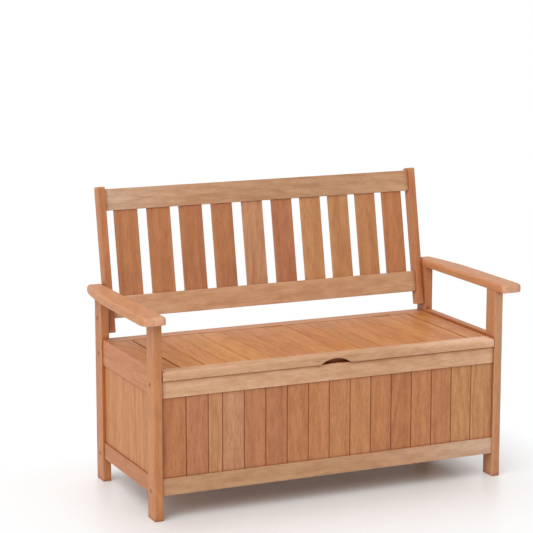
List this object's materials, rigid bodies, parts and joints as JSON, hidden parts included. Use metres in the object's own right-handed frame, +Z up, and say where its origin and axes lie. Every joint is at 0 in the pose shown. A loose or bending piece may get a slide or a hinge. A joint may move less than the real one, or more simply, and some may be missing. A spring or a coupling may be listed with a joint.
{
  "type": "patio storage bench",
  "caption": "Hardwood patio bench with armrests and a leaning slatted back; the boarded seat lifts on rear hinges and two gas struts over a storage box.",
  "frame": {"origin": "on the floor, under the middle of the whole bench", "axes": "+X along the length to the right, the front faces -Y, +Z up"},
  "size_m": [1.22, 0.5968, 0.8891],
  "materials": {
    "post_wood": "oiled, satin",
    "arm_wood": "oiled, satin",
    "rail_wood": "oiled, satin",
    "board_wood": "oiled, satin",
    "seat_wood": "oiled, satin",
    "slat_wood": "oiled, satin",
    "panel_wood": "oiled, satin",
    "inner_wood": "plain, matte",
    "zinc_steel": "zinc plated, satin",
    "aged_brass": "aged, satin",
    "black_steel": "satin",
    "rod_chrome": "polished",
    "black_plastic": "matte"
  },
  "bodies": {
    "frame": {"arm_left": "arm_wood", "arm_right": "arm_wood", "back_bottom_rail": "rail_wood", "back_slat_1": "slat_wood", "back_slat_10": "slat_wood", "back_slat_2": "slat_wood", "back_slat_3": "slat_wood", "back_slat_4": "slat_wood", "back_slat_5": "slat_wood", "back_slat_6": "slat_wood", "back_slat_7": "slat_wood", "back_slat_8": "slat_wood", "back_slat_9": "slat_wood", "back_stile_left": "post_wood", "back_stile_right": "post_wood", "back_top_rail": "rail_wood", "barrel_nuts": "zinc_steel", "dowels": "inner_wood", "floor_boards": "inner_wood", "floor_cleats": "inner_wood", "frame_bolts": "aged_brass", "frame_screws": "zinc_steel", "front_boards": "board_wood", "front_bottom_rail": "rail_wood", "front_corner_battens": "inner_wood", "front_top_rail": "rail_wood", "hinge_frame_leaves": "aged_brass", "hinge_pins": "aged_brass", "hinge_rail": "rail_wood", "post_front_left": "post_wood", "post_front_right": "post_wood", "post_rear_left": "post_wood", "post_rear_right": "post_wood", "rear_boards": "board_wood", "rear_bottom_rail": "rail_wood", "rear_corner_battens": "inner_wood", "rear_top_rail": "rail_wood", "side_bottom_rail_left": "rail_wood", "side_bottom_rail_right": "rail_wood", "side_panel_left": "panel_wood", "side_panel_right": "panel_wood", "side_top_rail_left": "rail_wood", "side_top_rail_right": "rail_wood", "strut_box_brackets": "black_steel"},
    "lid": {"lid_front_rail": "rail_wood", "lid_stile_left": "seat_wood", "lid_stile_right": "seat_wood", "lid_boards": "seat_wood", "lid_middle_batten": "inner_wood", "lid_rear_batten": "inner_wood", "lid_screws": "zinc_steel", "hinge_lid_leaves": "aged_brass", "strut_lid_brackets": "black_steel"},
    "strut_left": {"strut_cylinder_left": "black_steel"},
    "rod_left": {"strut_rod_left": "rod_chrome", "strut_socket_left": "black_plastic"},
    "strut_right": {"strut_cylinder_right": "black_steel"},
    "rod_right": {"strut_rod_right": "rod_chrome", "strut_socket_right": "black_plastic"}
  },
  "joints": [
    {"name": "lid_hinge", "type": "hinge", "parent": "frame", "child": "lid", "pos_m": [0, 0.17664, 0.4323], "axis": [-1, 0, 0], "range_deg": [0, 70]},
    {"name": "strut_left_swing", "type": "hinge", "parent": "lid", "child": "strut_left", "pos_m": [-0.522, 0.08464, 0.3923], "axis": [-1, 0, 0], "range_deg": [-72.8, 0.5]},
    {"name": "strut_left_slide", "type": "slide", "parent": "strut_left", "child": "rod_left", "axis": [0, -0.2948, -0.9556], "range_m": [-0.0005, 0.1152]},
    {"name": "strut_right_swing", "type": "hinge", "parent": "lid", "child": "strut_right", "pos_m": [0.522, 0.08464, 0.3923], "axis": [-1, 0, 0], "range_deg": [-72.8, 0.5]},
    {"name": "strut_right_slide", "type": "slide", "parent": "strut_right", "child": "rod_right", "axis": [0, -0.2948, -0.9556], "range_m": [-0.0005, 0.1152]}
  ],
  "couplings": [
    {"joint": "strut_left_swing", "follows": "lid_hinge", "ratio": -1.0322},
    {"joint": "strut_left_slide", "follows": "lid_hinge", "m_per_rad": 0.093921},
    {"joint": "strut_right_swing", "follows": "lid_hinge", "ratio": -1.0322},
    {"joint": "strut_right_slide", "follows": "lid_hinge", "m_per_rad": 0.093921}
  ]
}
